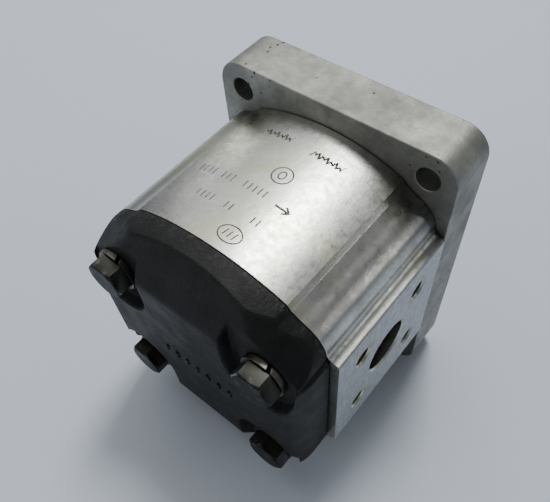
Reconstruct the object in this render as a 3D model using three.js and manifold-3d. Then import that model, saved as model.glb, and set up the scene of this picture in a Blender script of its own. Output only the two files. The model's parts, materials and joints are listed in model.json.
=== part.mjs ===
// External gear pump: extruded gear body between a mounting flange and a rear cover.
// Millimetres, +Z up. The shafts run along Y and the drive end faces +Y.
// Pieces are drawn in the pump's own frame: y = 0 is the flange's rear face, x = z = 0 is the
// middle of the body. The last group moves the whole pump so that its box stands on z = 0.
import * as THREE from 'three';
import { mergeVertices } from 'three/addons/utils/BufferGeometryUtils.js';
import Module from 'manifold-3d';

const wasm = await Module();
wasm.setup();

// ---- driving dimensions -------------------------------------------------------------------
const JOINT_GAP = 0.3;           // between the flange, the body and the cover
const FIT_GAP = 0.15;            // between other pieces that rest on each other
const EPS = 1;                   // how far a cutting tool passes through what it cuts
const SIDES = { fine: 32, round: 24, small: 14 };   // facets of large, medium and small rounds
const EIGHT_SEGMENTS = 20;       // facets of each of the two arcs of the chamber's outline
const SEAL_SEGMENTS = 14;        // and of a seal's outline

const FLANGE = { width: 91, height: 115, thick: 18.4, cornerR: 9.2, chamfer: 0.7, holeR: 4.2 };
const FLANGE_HOLE = { x: 35.75, z: 48.1 };
const PILOT = { r: 18.25, height: 5.5 };

const BODY = { length: 56.2, halfWidth: 45.9, padHalf: 27.6 };
const BULGE = { apex: 49.7, r: 75, edgeX: 28.4 };
const PORT = { r: 9.7, mouthR: 10.4, mouth: 0.7, inner: 7 };
const PORT_SCREW = { half: 15.3, r: 3.4, mouthR: 4.1, depth: 13.5 };

const COVER = { thick: 16.8, halfWidth: 42.7, frontTop: 34.5, frontSide: 39.3, rim: 6.9 };
// The cover's shoulders slope in: how far they reach at their rim, and depth gained per mm inwards.
const COVER_SHOULDER = { turnDeg: 51.7, reach: 53.2, rim: 3.5, rise: 1.85 };
const SEAT_DEPTH = 12.3;         // bolt seats, measured from the cover's joint face
const POCKET = { x: 17.6, z: 13.5, r: 11 };

const BOLT = { x: 30, z: 27, shankR: 3.9, holeR: 4.4, flats: 13, head: 5.3, intoFlange: 12 };
const BOLT_TURN_DEG = [7, 0, -14, 18];
const WASHER = { inR: 4.35, outR: 7.7, thick: 1.9, split: 1.1 };
const DOWEL = { inR: 4.7, outR: 5.9, length: 9 };

const TEETH = 12;
const GEAR_MODULE = 2.6;
const PRESSURE_ANGLE = THREE.MathUtils.degToRad(25);
const BACKLASH = 0.3;
const GEAR_WIDTH = 22;
const PITCH_R = (TEETH * GEAR_MODULE) / 2;
const AXIS_Z = PITCH_R;          // the two shafts sit this far above and below the middle
const TIP_R = PITCH_R + GEAR_MODULE;
const ROOT_R = PITCH_R - 1.22 * GEAR_MODULE;
const CHAMBER_R = TIP_R + 0.25;

const JOURNAL_R = 9;
const LINER = { inR: 9.12, outR: 10.3, length: 15.5 };
const BLOCK = { r: CHAMBER_R - FIT_GAP, boreR: 10.5 };
const BODY_SEAL = { inR: 20.4, outR: 22.4, depth: 1.6 };
const PRESSURE_SEAL = { inR: 15.8, outR: 16.8, depth: 1.8 };

const SEAL_POCKET = { r: 15, from: 11.5 };
const LIP_SEAL = { inR: 9.2, outR: 14.8, length: 7 };
const CIRCLIP = { grooveR: 16.2, outR: 15.9, inR: 13.6, thick: 1.2, lugR: 1.9 };
const TAPER = { start: 27, length: 17.5, r: 8.5, perLength: 1 / 16 };
const THREAD = { r: 5.95, length: 13.5 };
const KEY = { width: 3.2, r: 6.5, at: 34.5, sink: 5, proud: 1.5, clearance: 0.2 };
const HUB_WASHER = { inR: 6.4, outR: 12, thick: 2.4 };
const NUT = { flats: 19, height: 8, boreR: 6.15 };

const bodyFront = -JOINT_GAP;
const bodyRear = bodyFront - BODY.length;
const bodyMiddle = (bodyFront + bodyRear) / 2;
const coverFront = bodyRear - JOINT_GAP;
const coverRear = coverFront - COVER.thick;
const seatY = coverFront - SEAT_DEPTH;
const headY = seatY - WASHER.thick - 2 * FIT_GAP;
const rearmost = headY - BOLT.head;
const pilotFront = FLANGE.thick + PILOT.height;
const taperEnd = TAPER.start + TAPER.length;
const shaftTip = taperEnd + THREAD.length;

// ---- materials ----------------------------------------------------------------------------
const metal = (color, roughness, metalness = 1) =>
  new THREE.MeshStandardMaterial({ color, roughness, metalness });

const MATERIAL = {
  flange: metal(0x9a9c98, 0.55),
  body: metal(0xb4b6b6, 0.35),
  cover: metal(0x2a2d2e, 0.5, 0),
  bolt: metal(0x4a4b48, 0.45),
  washer: metal(0x8a8a84, 0.4),
  steel: metal(0x8f9194, 0.3),
  block: metal(0xa8aaaa, 0.45),
  liner: metal(0x8d7a4e, 0.4),
  rubber: metal(0x1c1c1c, 0.8, 0),
};

// ---- solids -------------------------------------------------------------------------------
function solidFrom(geometry) {
  geometry.deleteAttribute('normal');
  geometry.deleteAttribute('uv');
  const merged = mergeVertices(geometry, 1e-4);
  const index = Array.from(merged.index.array);
  const corners = [];
  for (let i = 0; i < index.length; i += 3) {
    const [a, b, c] = index.slice(i, i + 3);
    if (a !== b && b !== c && c !== a) corners.push(a, b, c);
  }
  return new wasm.Manifold(new wasm.Mesh({
    numProp: 3,
    vertProperties: new Float32Array(merged.attributes.position.array),
    triVerts: new Uint32Array(corners),
  }));
}

function meshOf(name, solid, material) {
  const { vertProperties, triVerts } = solid.getMesh();
  const geometry = new THREE.BufferGeometry();
  geometry.setAttribute('position', new THREE.BufferAttribute(vertProperties, 3));
  geometry.setIndex(new THREE.BufferAttribute(triVerts, 1));
  geometry.computeVertexNormals();
  const mesh = new THREE.Mesh(geometry, material);
  mesh.name = name;
  return mesh;
}

const joined = (first, ...others) => others.reduce((sum, other) => sum.add(other), first);
const cut = (first, ...tools) => tools.reduce((left, tool) => left.subtract(tool), first);

// A shape drawn in (x, z) and extruded from y0 to y1, with both ends chamfered if asked.
function prismY(shape, y0, y1, chamfer = 0, curveSegments = 16) {
  const geometry = new THREE.ExtrudeGeometry(shape, {
    depth: y1 - y0 - 2 * chamfer,
    curveSegments,
    bevelEnabled: chamfer > 0,
    bevelThickness: chamfer,
    bevelSize: chamfer,
    bevelOffset: -chamfer,
    bevelSegments: 1,
  });
  geometry.rotateX(Math.PI / 2);
  geometry.translate(0, y1 - chamfer, 0);
  return solidFrom(geometry);
}

// A shape drawn in (y, z) and extruded along X, centred on x = 0.
function prismX(shape, halfLength) {
  const geometry = new THREE.ExtrudeGeometry(shape, { depth: 2 * halfLength, bevelEnabled: false });
  geometry.translate(0, 0, -halfLength);
  geometry.rotateX(Math.PI / 2);
  geometry.rotateZ(Math.PI / 2);
  return solidFrom(geometry);
}

// A shape drawn in (x, y) and extruded along Z, centred on z = 0, then turned about Y if asked.
function prismZ(shape, halfLength, turnDeg = 0) {
  const geometry = new THREE.ExtrudeGeometry(shape, { depth: 2 * halfLength, bevelEnabled: false });
  geometry.translate(0, 0, -halfLength);
  geometry.rotateY(THREE.MathUtils.degToRad(turnDeg));
  return solidFrom(geometry);
}

function rodY(r, y0, y1, x = 0, z = 0, sides = SIDES.small, endR = r) {
  const geometry = new THREE.CylinderGeometry(endR, r, y1 - y0, sides);
  geometry.translate(x, (y0 + y1) / 2, z);
  return solidFrom(geometry);
}

// A rod along X from x0 to x1; r is the radius at x0 and endR the radius at x1.
function rodX(r, x0, x1, y, z, sides = SIDES.small, endR = r) {
  const geometry = new THREE.CylinderGeometry(endR, r, x1 - x0, sides);
  geometry.rotateZ(-Math.PI / 2);
  geometry.translate((x0 + x1) / 2, y, z);
  return solidFrom(geometry);
}

// A closed (r, y) outline turned about the line x = 0, z = axisZ; points run anticlockwise.
function turned(outline, axisZ = 0, sides = SIDES.round) {
  const points = outline.map(([r, y]) => new THREE.Vector2(r, y));
  if (outline[0][0] > 0) points.push(points[0].clone());
  const geometry = new THREE.LatheGeometry(points, sides);
  geometry.translate(0, 0, axisZ);
  return solidFrom(geometry);
}

function ringY(inR, outR, y0, y1, x = 0, z = 0, sides = SIDES.small) {
  const outer = rodY(outR, y0, y1, x, z, sides);
  return cut(outer, rodY(inR, y0 - EPS, y1 + EPS, x, z, sides));
}

// A hexagon bar between y0 and y1 with its rim chamfered at the y0 end, and at both if asked.
function hexY(flats, y0, y1, x, z, turnDeg = 0, bothEnds = false) {
  const cornerR = flats / Math.sqrt(3);
  const bar = new THREE.CylinderGeometry(cornerR, cornerR, y1 - y0, 6);
  bar.rotateY(Math.PI / 6 + THREE.MathUtils.degToRad(turnDeg));
  bar.translate(0, (y0 + y1) / 2, 0);
  const faceR = 0.475 * flats;
  const drop = (cornerR - faceR) * 0.6;
  const rim = turned([
    [0, y0],
    [faceR, y0],
    [cornerR + 0.05, y0 + drop],
    [cornerR + 0.05, bothEnds ? y1 - drop : y1],
    [bothEnds ? faceR : cornerR, y1],
    [0, y1],
  ], 0, SIDES.round);
  return solidFrom(bar).intersect(rim).translate([x, 0, z]);
}

// ---- outlines -----------------------------------------------------------------------------
function roundedRect(width, height, r) {
  const [w, h] = [width / 2, height / 2];
  const shape = new THREE.Shape();
  shape.moveTo(w - r, -h);
  shape.absarc(w - r, r - h, r, -Math.PI / 2, 0);
  shape.absarc(w - r, h - r, r, 0, Math.PI / 2);
  shape.absarc(r - w, h - r, r, Math.PI / 2, Math.PI);
  shape.absarc(r - w, r - h, r, Math.PI, 1.5 * Math.PI);
  return shape;
}

// One quarter of the section: side pad, rounded shoulder between two flutes, then the bulge.
function quarterSection(halfWidth) {
  const pad = new THREE.Vector2(halfWidth, BODY.padHalf);
  const shoulder = new THREE.SplineCurve([
    new THREE.Vector2(halfWidth - 0.5, BODY.padHalf + 0.6),
    new THREE.Vector2(Math.min(halfWidth - 1.2, 43.2), 28.9),
    new THREE.Vector2(41.7, 30.6),
    new THREE.Vector2(41.0, 33.5),
    new THREE.Vector2(39.2, 36.6),
    new THREE.Vector2(36.2, 39.0),
    new THREE.Vector2(32.6, 40.7),
    new THREE.Vector2(29.7, 42.4),
  ]).getPoints(11);
  const edgeAngle = Math.asin(BULGE.edgeX / BULGE.r);
  const steps = 8;
  const bulge = Array.from({ length: steps + 1 }, (_, i) => {
    const angle = edgeAngle * (1 - i / steps);
    const z = BULGE.apex - BULGE.r * (1 - Math.cos(angle));
    return new THREE.Vector2(BULGE.r * Math.sin(angle), z);
  });
  return [pad, ...shoulder, ...bulge];
}

function section(halfWidth) {
  const quarter = quarterSection(halfWidth);
  const upper = [...quarter, ...quarter.slice(0, -1).reverse().map((p) => new THREE.Vector2(-p.x, p.y))];
  const lower = upper.map((p) => new THREE.Vector2(-p.x, -p.y));
  return new THREE.Shape([...upper, ...lower]);
}

// Two equal circles about the shaft axes, joined where they cross.
function figureEight(r) {
  const waist = Math.acos(AXIS_Z / r);
  const shape = new THREE.Shape();
  shape.absarc(0, AXIS_Z, r, waist - Math.PI / 2, 1.5 * Math.PI - waist);
  shape.absarc(0, -AXIS_Z, r, Math.PI / 2 + waist, 2.5 * Math.PI - waist);
  return shape;
}

function figureEightRing(inR, outR, y0, y1) {
  const inner = prismY(figureEight(inR), y0 - EPS, y1 + EPS, 0, SEAL_SEGMENTS);
  return cut(prismY(figureEight(outR), y0, y1, 0, SEAL_SEGMENTS), inner);
}

// Involute teeth: the half angle of a tooth shrinks from the pitch circle to the tip.
function gearShape(firstToothAngle) {
  const involute = (angle) => Math.tan(angle) - angle;
  const baseR = PITCH_R * Math.cos(PRESSURE_ANGLE);
  const pitchHalf = (Math.PI * GEAR_MODULE / 2 - BACKLASH) / (2 * PITCH_R);
  const halfAngle = (r) => {
    const roll = Math.acos(Math.min(1, baseR / Math.max(r, baseR)));
    return pitchHalf + involute(PRESSURE_ANGLE) - involute(roll);
  };
  const steps = 4;
  const radii = Array.from({ length: steps + 1 }, (_, i) => baseR + (TIP_R - baseR) * (i / steps));
  const flank = [ROOT_R, ...radii];
  const points = [];
  for (let tooth = 0; tooth < TEETH; tooth += 1) {
    const middle = firstToothAngle + (tooth * 2 * Math.PI) / TEETH;
    const at = (r, side) => {
      const angle = middle + side * halfAngle(r);
      return new THREE.Vector2(r * Math.cos(angle), r * Math.sin(angle));
    };
    points.push(...flank.map((r) => at(r, -1)), ...flank.reverse().map((r) => at(r, 1)));
    flank.reverse();
  }
  return new THREE.Shape(points);
}

const corners = [[-1, 1], [1, 1], [-1, -1], [1, -1]];
const dowelCorners = [corners[0], corners[3]];

// ---- housing ------------------------------------------------------------------------------
function dowelBores(jointY) {
  const half = DOWEL.length / 2 + JOINT_GAP;
  return dowelCorners.map(([sx, sz]) =>
    rodY(DOWEL.outR + FIT_GAP, jointY - half, jointY + half, sx * BOLT.x, sz * BOLT.z));
}

function mountingFlange() {
  const outline = roundedRect(FLANGE.width, FLANGE.height, FLANGE.cornerR);
  const plate = prismY(outline, 0, FLANGE.thick, FLANGE.chamfer, 7);
  const pilot = turned([
    [0, FLANGE.thick - EPS],
    [PILOT.r, FLANGE.thick - EPS],
    [PILOT.r, pilotFront - 0.8],
    [PILOT.r - 0.8, pilotFront],
    [0, pilotFront],
  ], AXIS_Z, SIDES.fine);
  const grooveY = SEAL_POCKET.from + LIP_SEAL.length + 2 * FIT_GAP;
  const tools = [
    rodY(JOURNAL_R + 0.7, -EPS, pilotFront + EPS, 0, AXIS_Z, SIDES.fine),
    rodY(SEAL_POCKET.r, SEAL_POCKET.from, pilotFront + EPS, 0, AXIS_Z, SIDES.fine),
    rodY(CIRCLIP.grooveR, grooveY, grooveY + CIRCLIP.thick + 2 * FIT_GAP, 0, AXIS_Z, SIDES.fine),
    ...dowelBores(bodyFront / 2),
  ];
  for (const [sx, sz] of corners) {
    const [x, z] = [sx * FLANGE_HOLE.x, sz * FLANGE_HOLE.z];
    tools.push(rodY(FLANGE.holeR, -EPS, FLANGE.thick + EPS, x, z));
    tools.push(rodY(BOLT.holeR, -EPS, BOLT.intoFlange + 2, sx * BOLT.x, sz * BOLT.z));
  }
  return cut(joined(plate, pilot), ...tools);
}

// One side's port and its four tapped holes; side is +1 or -1.
function portTools(side) {
  const face = BODY.halfWidth;
  const tools = [
    rodX(PORT.r, PORT.inner, face + EPS, bodyMiddle, 0, SIDES.round),
    rodX(PORT.r, face - PORT.mouth, face + EPS, bodyMiddle, 0, SIDES.round, PORT.mouthR + EPS),
  ];
  for (const [sy, sz] of corners) {
    const [y, z] = [bodyMiddle + sy * PORT_SCREW.half, sz * PORT_SCREW.half];
    tools.push(rodX(PORT_SCREW.r, face - PORT_SCREW.depth, face + EPS, y, z));
    const mouth = PORT_SCREW.mouthR - PORT_SCREW.r;
    tools.push(rodX(PORT_SCREW.r, face - mouth, face + EPS, y, z, SIDES.small, PORT_SCREW.mouthR + EPS));
  }
  return side > 0 ? tools : tools.map((tool) => tool.mirror([1, 0, 0]));
}

function pumpBody() {
  const blank = prismY(section(BODY.halfWidth), bodyRear, bodyFront);
  const chamber = prismY(figureEight(CHAMBER_R), bodyRear - EPS, bodyFront + EPS, 0, EIGHT_SEGMENTS);
  const grooves = [bodyFront - BODY_SEAL.depth, bodyRear - EPS].map((y) =>
    figureEightRing(BODY_SEAL.inR - FIT_GAP, BODY_SEAL.outR + FIT_GAP, y, y + BODY_SEAL.depth + EPS));
  const boltHoles = corners.map(([sx, sz]) =>
    rodY(BOLT.holeR, bodyRear - EPS, bodyFront + EPS, sx * BOLT.x, sz * BOLT.z));
  return cut(blank, chamber, ...grooves, ...boltHoles, ...dowelBores(bodyFront / 2),
    ...dowelBores((bodyRear + coverFront) / 2), ...portTools(1), ...portTools(-1));
}

// The cover's side view in (y, z): a straight rim, then slopes in to the rear face.
function coverTopSlope() {
  const [rimY, tall] = [coverFront - COVER.rim, BULGE.apex + EPS];
  const rise = (BULGE.apex - COVER.frontTop) / (COVER.thick - COVER.rim);
  const rimZ = COVER.frontTop + rise * (COVER.thick - COVER.rim);
  return new THREE.Shape([
    [coverRear, -COVER.frontTop], [rimY, -rimZ], [rimY + EPS, -tall], [coverFront + EPS, -tall],
    [coverFront + EPS, tall], [rimY + EPS, tall], [rimY, rimZ], [coverRear, COVER.frontTop],
  ].map(([y, z]) => new THREE.Vector2(y, z)));
}

// The sides stay straight behind the joint, then round over to the narrower rear face.
function coverSideSlope() {
  const side = new THREE.QuadraticBezierCurve(
    new THREE.Vector2(COVER.frontSide, coverRear),
    new THREE.Vector2(COVER.halfWidth - 1.2, coverRear + 3.4),
    new THREE.Vector2(COVER.halfWidth + 0.4, coverFront - 3.5),
  ).getPoints(7);
  side.push(new THREE.Vector2(COVER.halfWidth + 0.4, coverFront + EPS));
  const mirrored = side.map((p) => new THREE.Vector2(-p.x, p.y)).reverse();
  return new THREE.Shape([...side, ...mirrored]);
}

// A slab through two opposite shoulders, narrowing towards the rear face.
function coverShoulderSlope(turnDeg) {
  const { reach, rim, rise } = COVER_SHOULDER;
  const [rimY, rearY] = [coverFront - rim, coverRear - EPS];
  const rearReach = reach - (rimY - rearY) / rise;
  const shape = new THREE.Shape([
    [rearReach, rearY], [reach, rimY], [reach + EPS, coverFront + EPS],
    [-reach - EPS, coverFront + EPS], [-reach, rimY], [-rearReach, rearY],
  ].map(([x, y]) => new THREE.Vector2(x, y)));
  return prismZ(shape, 60, turnDeg);
}

// A corner pocket: square outwards, rounded about the bolt on its inner corner.
function boltPocket([sx, sz]) {
  const [x0, z0, r, far] = [POCKET.x, POCKET.z, POCKET.r, 70];
  const shape = new THREE.Shape();
  shape.moveTo(far, z0);
  shape.lineTo(far, far);
  shape.lineTo(x0, far);
  shape.absarc(x0 + r, z0 + r, r, Math.PI, 1.5 * Math.PI);
  const pocket = prismY(shape, coverRear - EPS, seatY, 0, 8);
  const flipX = sx < 0 ? pocket.mirror([1, 0, 0]) : pocket;
  return sz < 0 ? flipX.mirror([0, 0, 1]) : flipX;
}

function rearCover() {
  const blank = prismY(section(COVER.halfWidth), coverRear, coverFront)
    .intersect(prismX(coverTopSlope(), 60))
    .intersect(prismZ(coverSideSlope(), 60))
    .intersect(coverShoulderSlope(COVER_SHOULDER.turnDeg))
    .intersect(coverShoulderSlope(-COVER_SHOULDER.turnDeg));
  const tools = [...corners.map(boltPocket), ...dowelBores((bodyRear + coverFront) / 2)];
  for (const [sx, sz] of corners) {
    tools.push(rodY(BOLT.holeR, seatY - EPS, coverFront + EPS, sx * BOLT.x, sz * BOLT.z));
  }
  for (const sz of [-1, 1]) {
    tools.push(rodY(JOURNAL_R - 2, coverFront - 2, coverFront + EPS, 0, sz * AXIS_Z));
  }
  return cut(blank, ...tools);
}

// ---- bolts, washers, dowels ---------------------------------------------------------------
function coverBolt([sx, sz], turnDeg) {
  const [x, z] = [sx * BOLT.x, sz * BOLT.z];
  const head = hexY(BOLT.flats, headY - BOLT.head, headY, x, z, turnDeg);
  const shank = rodY(BOLT.shankR, headY - EPS, BOLT.intoFlange - 1, x, z);
  const point = rodY(BOLT.shankR, BOLT.intoFlange - 1, BOLT.intoFlange, x, z, SIDES.small, BOLT.shankR - 1);
  return joined(head, shank, point);
}

function springWasher([sx, sz]) {
  const [x, z] = [sx * BOLT.x, sz * BOLT.z];
  const rear = seatY - FIT_GAP - WASHER.thick;
  const ring = ringY(WASHER.inR, WASHER.outR, rear, rear + WASHER.thick, x, z, SIDES.round);
  const slit = new THREE.BoxGeometry(WASHER.split, 3 * WASHER.thick, WASHER.outR);
  slit.rotateZ(0.4);
  slit.translate(x + 2.6, rear + WASHER.thick / 2, z + 0.8 * WASHER.outR);
  return cut(ring, solidFrom(slit));
}

const hollowDowel = ([sx, sz], jointY) => ringY(DOWEL.inR, DOWEL.outR, jointY - DOWEL.length / 2,
  jointY + DOWEL.length / 2, sx * BOLT.x, sz * BOLT.z);

// ---- bearing blocks, liners, seals --------------------------------------------------------
// end is +1 for the drive end and -1 for the cover end.
function blockSpan(end) {
  const gearSide = bodyMiddle + end * (GEAR_WIDTH / 2 + FIT_GAP);
  const outside = bodyMiddle + end * (BODY.length / 2 - FIT_GAP);
  return [Math.min(gearSide, outside), Math.max(gearSide, outside)];
}

function pressureRing(end, extra) {
  const [y0, y1] = blockSpan(end);
  const [low, high] = end > 0
    ? [y1 - PRESSURE_SEAL.depth - extra, y1 + (extra ? EPS : -FIT_GAP)]
    : [y0 - (extra ? EPS : -FIT_GAP), y0 + PRESSURE_SEAL.depth + extra];
  const ring = figureEightRing(PRESSURE_SEAL.inR - extra, PRESSURE_SEAL.outR + extra, low, high);
  const keep = new THREE.BoxGeometry(40, 60, 60 + 2 * extra);
  keep.translate(20 + 3 - extra, (low + high) / 2, 0);
  return ring.intersect(solidFrom(keep));
}

function bearingBlock(end) {
  const [y0, y1] = blockSpan(end);
  const blank = prismY(figureEight(BLOCK.r), y0, y1, 0, EIGHT_SEGMENTS);
  const bores = [-1, 1].map((sz) => rodY(BLOCK.boreR, y0 - EPS, y1 + EPS, 0, sz * AXIS_Z, SIDES.round));
  return cut(blank, ...bores, pressureRing(end, FIT_GAP));
}

function bearingLiner(end, sz) {
  const [y0, y1] = blockSpan(end);
  const middle = (y0 + y1) / 2;
  return ringY(LINER.inR, LINER.outR, middle - LINER.length / 2, middle + LINER.length / 2, 0,
    sz * AXIS_Z, SIDES.round);
}

function bodySeal(end) {
  const face = bodyMiddle + (end * BODY.length) / 2;
  const edges = [face, face - end * (BODY_SEAL.depth - FIT_GAP)];
  return figureEightRing(BODY_SEAL.inR, BODY_SEAL.outR, Math.min(...edges), Math.max(...edges));
}

// Outer case and lip of the shaft seal, one rubber-covered ring.
function shaftSeal() {
  const y0 = SEAL_POCKET.from + FIT_GAP;
  const y1 = y0 + LIP_SEAL.length;
  return turned([
    [LIP_SEAL.inR, y0 + 2.2],
    [LIP_SEAL.inR + 1.5, y0 + 0.6],
    [LIP_SEAL.inR + 2.6, y0 + 1.2],
    [LIP_SEAL.inR + 2.2, y0 + 4.4],
    [LIP_SEAL.outR - 1.6, y0 + 4.4],
    [LIP_SEAL.outR - 1.6, y0],
    [LIP_SEAL.outR, y0],
    [LIP_SEAL.outR, y1],
    [LIP_SEAL.inR + 0.5, y1],
    [LIP_SEAL.inR + 0.5, y0 + 4.4],
  ], AXIS_Z, SIDES.round);
}

function sealCirclip() {
  const y0 = SEAL_POCKET.from + LIP_SEAL.length + 3 * FIT_GAP;
  const y1 = y0 + CIRCLIP.thick;
  const gapHalf = 0.3;
  const ring = ringY(CIRCLIP.inR, CIRCLIP.outR, y0, y1, 0, AXIS_Z, SIDES.fine);
  const gap = new THREE.BoxGeometry(2 * gapHalf * CIRCLIP.outR, 8, 8);
  gap.translate(0, y0, AXIS_Z - CIRCLIP.outR);
  const lugs = [-1, 1].map((side) => {
    const angle = -Math.PI / 2 + side * (gapHalf + 0.02);
    const reach = CIRCLIP.inR + 0.3;
    const [x, z] = [reach * Math.cos(angle), AXIS_Z + reach * Math.sin(angle)];
    return { lug: rodY(CIRCLIP.lugR, y0, y1, x, z, 12), hole: rodY(0.8, y0 - 1, y1 + 1, x, z, 8) };
  });
  const body = joined(cut(ring, solidFrom(gap)), ...lugs.map(({ lug }) => lug));
  return cut(body, ...lugs.map(({ hole }) => hole));
}

// ---- shafts -------------------------------------------------------------------------------
const gearY = [bodyMiddle - GEAR_WIDTH / 2, bodyMiddle + GEAR_WIDTH / 2];
const journalEnd = (end) => bodyMiddle + end * (BODY.length / 2 - 1);

const toothedRim = (axisZ, firstToothAngle) =>
  prismY(gearShape(firstToothAngle), gearY[0], gearY[1]).translate([0, 0, axisZ]);

function keyDisc(extra) {
  const disc = rodY(KEY.r + extra, -KEY.width / 2 - extra, KEY.width / 2 + extra, 0, 0, SIDES.round);
  const radius = TAPER.r - (KEY.at - TAPER.start) * TAPER.perLength;
  return disc.rotate([0, 0, 90]).translate([0, KEY.at, AXIS_Z + radius + KEY.r - KEY.sink]);
}

function driveShaft() {
  const rear = journalEnd(-1);
  const smallR = TAPER.r - TAPER.length * TAPER.perLength;
  const axle = turned([
    [0, rear],
    [JOURNAL_R - 0.8, rear],
    [JOURNAL_R, rear + 0.8],
    [JOURNAL_R, TAPER.start - 1.2],
    [TAPER.r, TAPER.start - 0.6],
    [TAPER.r, TAPER.start],
    [smallR, taperEnd],
    [THREAD.r - 0.7, taperEnd],
    [THREAD.r - 0.7, taperEnd + 1.4],
    [THREAD.r, taperEnd + 2.1],
    [THREAD.r, shaftTip - 1],
    [THREAD.r - 1, shaftTip],
    [0, shaftTip],
  ], AXIS_Z);
  return cut(joined(axle, toothedRim(AXIS_Z, -Math.PI / 2)), keyDisc(KEY.clearance));
}

function idlerShaft() {
  const [rear, front] = [journalEnd(-1), journalEnd(1)];
  const axle = turned([
    [0, rear],
    [JOURNAL_R - 0.8, rear],
    [JOURNAL_R, rear + 0.8],
    [JOURNAL_R, front - 0.8],
    [JOURNAL_R - 0.8, front],
    [0, front],
  ], -AXIS_Z);
  return joined(axle, toothedRim(-AXIS_Z, Math.PI / 2 + Math.PI / TEETH));
}

// The upper part of a half-moon key, level with a flat top that stands proud of the taper.
function shaftKey() {
  const radius = TAPER.r - (KEY.at - TAPER.start) * TAPER.perLength;
  const keep = new THREE.BoxGeometry(20, 40, 20);
  keep.translate(0, KEY.at, AXIS_Z + radius + KEY.proud - 10);
  return keyDisc(0).intersect(solidFrom(keep));
}

const washerY = taperEnd + FIT_GAP;
const nutY = washerY + HUB_WASHER.thick + FIT_GAP;
const shaftWasher = () =>
  ringY(HUB_WASHER.inR, HUB_WASHER.outR, washerY, washerY + HUB_WASHER.thick, 0, AXIS_Z, SIDES.fine);
const shaftNut = () => cut(
  hexY(NUT.flats, nutY, nutY + NUT.height, 0, AXIS_Z, 0, true),
  rodY(NUT.boreR, nutY - EPS, nutY + NUT.height + EPS, 0, AXIS_Z),
);

// ---- assembly -----------------------------------------------------------------------------
const pump = new THREE.Group();
pump.add(meshOf('mounting_flange', mountingFlange(), MATERIAL.flange));
pump.add(meshOf('pump_body', pumpBody(), MATERIAL.body));
pump.add(meshOf('rear_cover', rearCover(), MATERIAL.cover));

corners.forEach((corner, i) => {
  pump.add(meshOf(`cover_bolt_${i + 1}`, coverBolt(corner, BOLT_TURN_DEG[i]), MATERIAL.bolt));
  pump.add(meshOf(`spring_washer_${i + 1}`, springWasher(corner), MATERIAL.washer));
});
const jointPlanes = { front: bodyFront / 2, rear: (bodyRear + coverFront) / 2 };
for (const [joint, y] of Object.entries(jointPlanes)) {
  dowelCorners.forEach((corner, i) => {
    pump.add(meshOf(`dowel_${joint}_${i + 1}`, hollowDowel(corner, y), MATERIAL.steel));
  });
}

for (const [where, end] of [['front', 1], ['rear', -1]]) {
  pump.add(meshOf(`bearing_block_${where}`, bearingBlock(end), MATERIAL.block));
  pump.add(meshOf(`liner_drive_${where}`, bearingLiner(end, 1), MATERIAL.liner));
  pump.add(meshOf(`liner_idler_${where}`, bearingLiner(end, -1), MATERIAL.liner));
  pump.add(meshOf(`seal_body_${where}`, bodySeal(end), MATERIAL.rubber));
  pump.add(meshOf(`seal_pressure_${where}`, pressureRing(end, 0), MATERIAL.rubber));
}

pump.add(meshOf('shaft_seal', shaftSeal(), MATERIAL.rubber));
pump.add(meshOf('seal_circlip', sealCirclip(), MATERIAL.steel));
pump.add(meshOf('drive_gear_shaft', driveShaft(), MATERIAL.steel));
pump.add(meshOf('idler_gear_shaft', idlerShaft(), MATERIAL.steel));
pump.add(meshOf('shaft_key', shaftKey(), MATERIAL.steel));
pump.add(meshOf('shaft_washer', shaftWasher(), MATERIAL.washer));
pump.add(meshOf('shaft_nut', shaftNut(), MATERIAL.bolt));

pump.position.set(0, -(rearmost + shaftTip) / 2, FLANGE.height / 2);
const group = new THREE.Group();
group.add(pump);

export default group;
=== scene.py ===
"""Hydraulic gear pump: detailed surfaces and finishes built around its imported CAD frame."""
import json
import math
from types import SimpleNamespace

import bmesh
import bpy
import numpy as np
from mathutils import Matrix, Vector


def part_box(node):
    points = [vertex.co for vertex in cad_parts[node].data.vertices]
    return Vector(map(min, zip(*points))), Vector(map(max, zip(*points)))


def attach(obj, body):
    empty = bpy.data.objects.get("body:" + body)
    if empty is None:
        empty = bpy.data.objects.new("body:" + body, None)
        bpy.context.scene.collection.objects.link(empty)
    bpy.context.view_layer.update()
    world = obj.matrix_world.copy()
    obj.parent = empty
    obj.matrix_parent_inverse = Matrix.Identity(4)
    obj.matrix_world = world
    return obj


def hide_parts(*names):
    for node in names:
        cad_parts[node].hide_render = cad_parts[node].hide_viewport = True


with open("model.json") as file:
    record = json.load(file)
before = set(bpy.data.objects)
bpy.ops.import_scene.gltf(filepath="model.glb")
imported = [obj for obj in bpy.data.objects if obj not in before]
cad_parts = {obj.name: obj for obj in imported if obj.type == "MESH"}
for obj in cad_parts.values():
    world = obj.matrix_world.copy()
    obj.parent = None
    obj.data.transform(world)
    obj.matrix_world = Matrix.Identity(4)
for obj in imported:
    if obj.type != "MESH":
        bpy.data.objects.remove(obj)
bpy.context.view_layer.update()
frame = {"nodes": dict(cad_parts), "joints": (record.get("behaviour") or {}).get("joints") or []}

bl_info = {
    "name": "Gear pump looks",
    "version": (1, 0, 0),
    "blender": (4, 5, 0),
    "location": "3D View > Sidebar > Pump",
    "description": "Detailed surfaces and finishes for a hydraulic gear pump",
    "category": "Object",
}

MM = 0.001
CORNERS = ((-1, 1), (1, 1), (-1, -1), (1, -1))

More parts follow.
